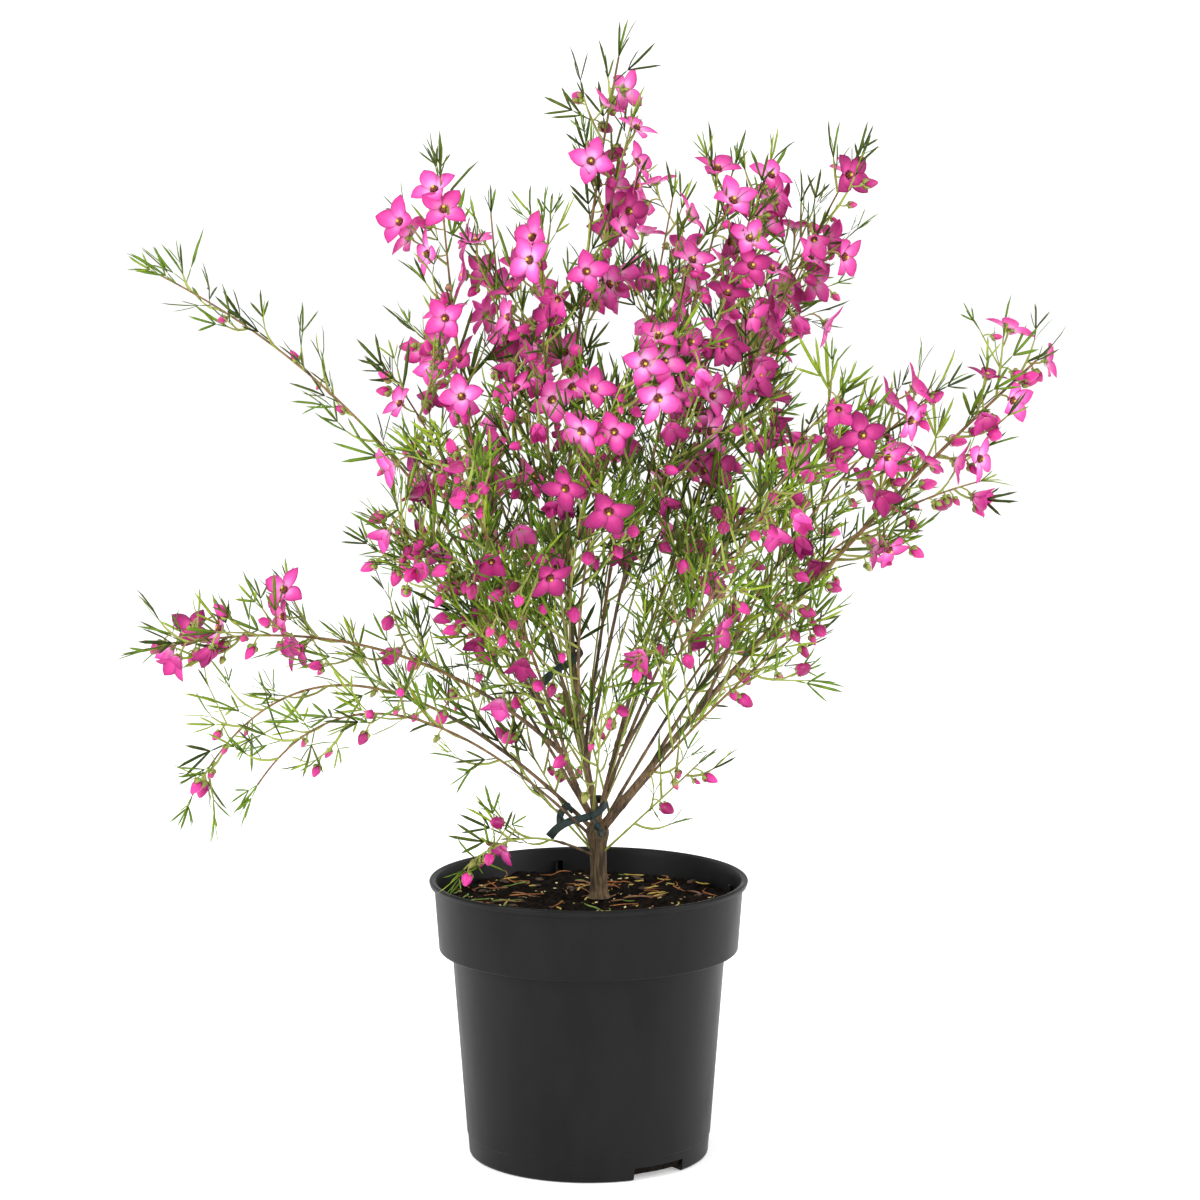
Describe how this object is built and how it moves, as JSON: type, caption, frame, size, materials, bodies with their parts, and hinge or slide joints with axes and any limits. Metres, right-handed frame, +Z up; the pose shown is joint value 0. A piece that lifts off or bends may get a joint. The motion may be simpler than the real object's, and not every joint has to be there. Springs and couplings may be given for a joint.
{
  "type": "potted boronia shrub",
  "caption": "Young flowering boronia: a short woody trunk that forks low into slender stems with fine leaves, pink four-petalled flowers and buds, in a round nursery pot.",
  "frame": {"origin": "middle of the pot's flat underside, on the pot's own axis", "axes": "+Z up along the pot's axis, -Y towards the side that the picture shows, +X to its right"},
  "size_m": [0.4066, 0.2702, 0.4972],
  "materials": {
    "charcoal_plastic": "moulded, fine satin",
    "potting_mix": "loose dark brown bark and peat mix",
    "brown_bark": "rough bark",
    "foliage_and_blossom": "matt leaves with pink petals"
  },
  "bodies": {
    "root": {"pot": "charcoal_plastic", "soil": "potting_mix", "trunk": "brown_bark", "leader_bough": "brown_bark", "left_crown_bough": "brown_bark", "right_crown_bough": "brown_bark", "right_arm_bough": "brown_bark", "low_left_droop_bough": "brown_bark", "right_shoulder_bough": "brown_bark", "bright_front_bough": "brown_bark", "back_low_left_bough": "brown_bark", "back_low_right_bough": "brown_bark", "right_low_bough": "brown_bark", "low_left_twig_bough": "brown_bark", "front_twig_bough": "brown_bark", "left_inner_bough": "brown_bark", "right_leader_bough": "brown_bark", "front_crown_bough": "brown_bark", "back_leader_bough": "brown_bark", "back_left_bough": "brown_bark", "left_mid_bough": "brown_bark", "low_left_arm_bough": "brown_bark", "left_arm_bough": "brown_bark", "left_shoulder_bough": "brown_bark", "front_left_bough": "brown_bark", "back_right_bough": "brown_bark", "right_mid_bough": "brown_bark", "right_upper_bough": "brown_bark", "front_right_bough": "brown_bark", "right_spur_bough": "brown_bark", "leader_mass": "foliage_and_blossom", "left_crown_mass": "foliage_and_blossom", "right_crown_mass": "foliage_and_blossom", "right_arm_mass": "foliage_and_blossom", "low_left_droop_mass": "foliage_and_blossom", "right_shoulder_mass": "foliage_and_blossom", "bright_front_mass": "foliage_and_blossom", "back_low_left_mass": "foliage_and_blossom", "back_low_right_mass": "foliage_and_blossom", "right_low_mass": "foliage_and_blossom", "low_left_twig_mass": "foliage_and_blossom", "front_twig_mass": "foliage_and_blossom", "left_inner_mass": "foliage_and_blossom", "right_leader_mass": "foliage_and_blossom", "front_crown_mass": "foliage_and_blossom", "back_leader_mass": "foliage_and_blossom", "back_left_mass": "foliage_and_blossom", "left_mid_mass": "foliage_and_blossom", "low_left_arm_mass": "foliage_and_blossom", "left_arm_mass": "foliage_and_blossom", "left_shoulder_mass": "foliage_and_blossom", "front_left_mass": "foliage_and_blossom", "back_right_mass": "foliage_and_blossom", "right_mid_mass": "foliage_and_blossom", "right_upper_mass": "foliage_and_blossom", "front_right_mass": "foliage_and_blossom", "right_spur_mass": "foliage_and_blossom"}
  },
  "joints": []
}
